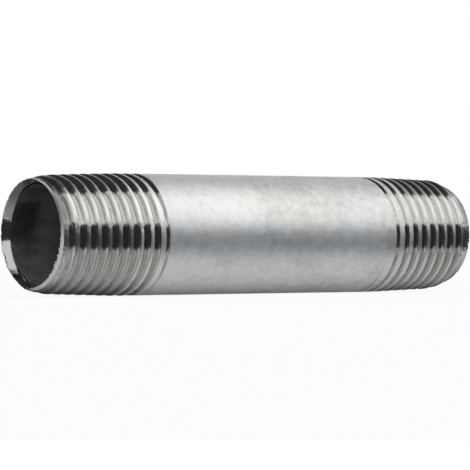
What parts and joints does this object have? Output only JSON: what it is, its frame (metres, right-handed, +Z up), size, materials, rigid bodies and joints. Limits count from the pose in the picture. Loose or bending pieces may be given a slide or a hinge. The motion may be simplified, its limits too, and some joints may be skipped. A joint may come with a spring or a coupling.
{
  "type": "threaded pipe nipple",
  "caption": "Short straight steel pipe with a zinc-coated barrel and a right-hand taper pipe thread cut on each end, used to join female-threaded fittings.",
  "frame": {"origin": "middle of the nipple, on its axis", "axes": "+X along the pipe towards the far end, +Z up with the nipple lying on its side"},
  "size_m": [0.06, 0.0136, 0.0136],
  "materials": {
    "cut_steel": "bare bright steel, as the threading die and the reamer left it",
    "barrel_zinc": "hot-dip zinc, satin, faintly brushed around the pipe",
    "bore_zinc": "hot-dip zinc inside the bore, dull and dark"
  },
  "bodies": {
    "root": {"steel_pipe": "cut_steel", "outer_zinc_coat": "barrel_zinc", "inner_zinc_coat": "bore_zinc"}
  },
  "joints": []
}
